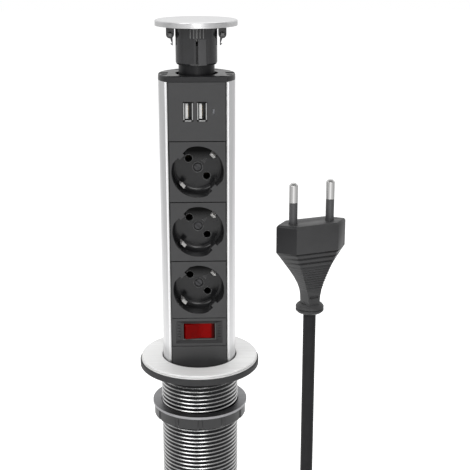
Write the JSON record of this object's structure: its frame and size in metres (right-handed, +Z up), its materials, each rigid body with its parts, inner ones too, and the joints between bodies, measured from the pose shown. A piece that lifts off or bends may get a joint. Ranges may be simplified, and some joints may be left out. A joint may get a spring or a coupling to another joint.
{
  "type": "pop up desk socket",
  "caption": "Round pull-up power tower for a desk top: flat front face with earthed sockets, USB ports and a lit rocker switch, clamp sleeve below, flat lid on a sprung neck.",
  "frame": {"origin": "on the tower's axis, in the plane of the desk top", "axes": "+Z up along the tower, -Y towards the user, in front of the flat face with the sockets, +X to the user's right"},
  "size_m": [0.1149, 0.3613, 0.4591],
  "materials": {
    "aluminium": "brushed",
    "black_plastic": "satin",
    "gloss_black": "polished",
    "red_plastic": "translucent red",
    "white_plastic": "satin",
    "clear_plastic": "frosted",
    "steel": "bright",
    "brass": "drawn",
    "nickel": "nickel plated",
    "board": "lacquered",
    "coil_wrap": "tape wrapped",
    "lamp_glass": "clear",
    "felt": "felt",
    "cord_rubber": "satin"
  },
  "bodies": {
    "desk_frame": {"collar_gasket": "black_plastic", "collar_ring": "aluminium", "mounting_sleeve": "black_plastic", "guide_insert": "black_plastic", "brake_pads": "felt"},
    "clamp_washer": {"clamp_washer": "steel"},
    "clamp_nut": {"clamp_nut": "black_plastic"},
    "lid": {"lid_disc": "aluminium", "lid_base": "black_plastic", "lid_screws": "steel", "neck": "black_plastic", "latch_bracket_left": "gloss_black", "latch_bracket_right": "gloss_black", "latch_pins": "steel", "latch_springs": "steel"},
    "latch_left": {"latch_hook_left": "steel"},
    "latch_right": {"latch_hook_right": "steel"},
    "rocker": {"rocker": "red_plastic"},
    "tower": {"tower_shell": "aluminium", "usb_panel": "black_plastic", "switch_panel": "black_plastic", "lower_panel": "black_plastic", "tower_base": "black_plastic", "cord_gland": "black_plastic", "gland_nut": "black_plastic", "neck_core": "black_plastic", "cord_tie": "black_plastic", "switch_housing": "black_plastic", "top_cap": "gloss_black", "socket_upper": "gloss_black", "socket_middle": "gloss_black", "socket_lower": "gloss_black", "usb_tongues": "white_plastic", "terminal_block": "white_plastic", "usb_indicator": "clear_plastic", "cap_screws": "steel", "base_screws": "steel", "socket_screws": "steel", "earth_clip_upper": "steel", "earth_clip_middle": "steel", "earth_clip_lower": "steel", "lid_spring": "steel", "usb_shells": "steel", "switch_blades": "steel", "terminal_screws": "steel", "contact_sleeves": "brass", "bus_bar_live": "brass", "bus_bar_neutral": "brass", "earth_bus": "brass", "usb_contacts": "brass", "plug_pins": "nickel", "usb_board": "board", "usb_transformer": "coil_wrap", "switch_lamp": "lamp_glass", "cord_tail": "cord_rubber", "cord_coil": "cord_rubber", "cord_lead": "cord_rubber", "plug_body": "cord_rubber", "plug_sleeves": "cord_rubber", "inner_wires": "cord_rubber"}
  },
  "joints": [
    {"name": "tower_slide", "type": "slide", "parent": "desk_frame", "child": "tower", "axis": [0, 0, 1], "range_m": [-0.243, 0]},
    {"name": "lid_slide", "type": "slide", "parent": "tower", "child": "lid", "axis": [0, 0, 1], "range_m": [-0.0105, 0], "stiffness_N_per_m": 180, "springref_m": 0.012, "deforming": ["lid_spring"]},
    {"name": "latch_left_pivot", "type": "hinge", "parent": "lid", "child": "latch_left", "pos_m": [-0.0188, 0, 0.2552], "axis": [0, 1, 0], "range_deg": [0, 20], "stiffness_Nm_per_rad": 0.005, "springref_deg": -11.46},
    {"name": "latch_right_pivot", "type": "hinge", "parent": "lid", "child": "latch_right", "pos_m": [0.0188, 0, 0.2552], "axis": [0, -1, 0], "range_deg": [0, 20], "stiffness_Nm_per_rad": 0.005, "springref_deg": -11.46},
    {"name": "rocker_tilt", "type": "hinge", "parent": "tower", "child": "rocker", "pos_m": [0, -0.0118, 0.0321], "axis": [0, 0, -1], "range_deg": [0, 12]},
    {"name": "washer_slide", "type": "slide", "parent": "desk_frame", "child": "clamp_washer", "axis": [0, 0, 1], "range_m": [-0.0301, 0.0201]},
    {"name": "nut_turn", "type": "hinge", "parent": "clamp_washer", "child": "clamp_nut", "pos_m": [0, 0, -0.0365], "axis": [0, 0, 1], "range_deg": [-3320, 2220]}
  ],
  "couplings": [
    {"joint": "washer_slide", "follows": "nut_turn", "m_per_rad": 0.00051725}
  ]
}
